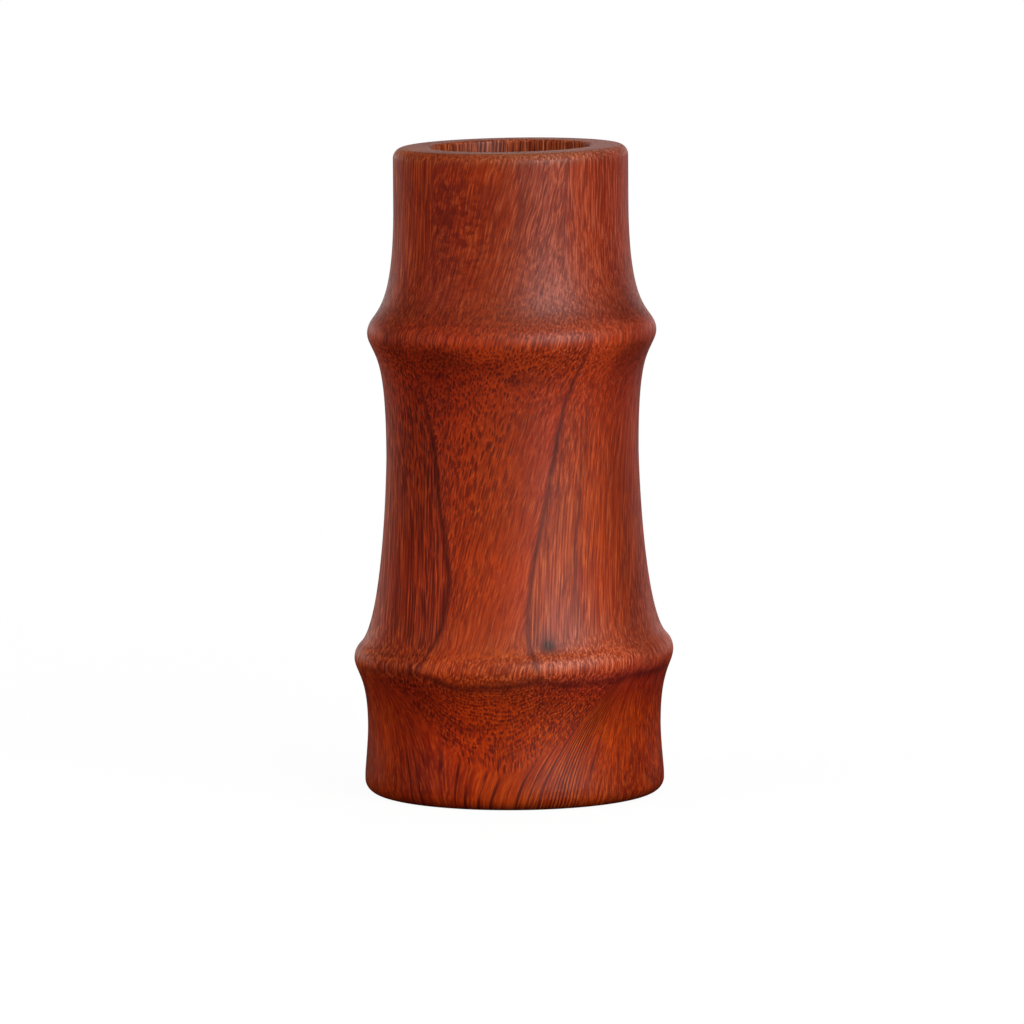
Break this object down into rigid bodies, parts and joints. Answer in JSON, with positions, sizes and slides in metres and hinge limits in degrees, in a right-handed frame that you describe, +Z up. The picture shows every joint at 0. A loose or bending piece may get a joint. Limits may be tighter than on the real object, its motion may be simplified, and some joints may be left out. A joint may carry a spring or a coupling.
{
  "type": "vase",
  "caption": "Turned red hardwood bud vase in the form of a bamboo stem, with ring-shaped nodes, a round open bore and a glass water tube that lifts straight out.",
  "frame": {"origin": "centre of the flat base, on the ground plane", "axes": "+Z up along the turning axis, -Y towards the viewer of the picture"},
  "size_m": [0.0518, 0.0518, 0.105],
  "materials": {
    "red_hardwood": "satin oiled, dark open pores",
    "plug_wood": "sanded, bare",
    "cork": "cut sheet cork",
    "clear_glass": "clear, fire-polished lip"
  },
  "bodies": {
    "vase": {"turned_body": "red_hardwood", "base_plug": "plug_wood", "cork_pad": "cork"},
    "tube": {"water_tube": "clear_glass"}
  },
  "joints": [
    {"name": "tube_lift", "type": "slide", "parent": "vase", "child": "tube", "axis": [0, 0, 1], "range_m": [0, 0.1]}
  ]
}
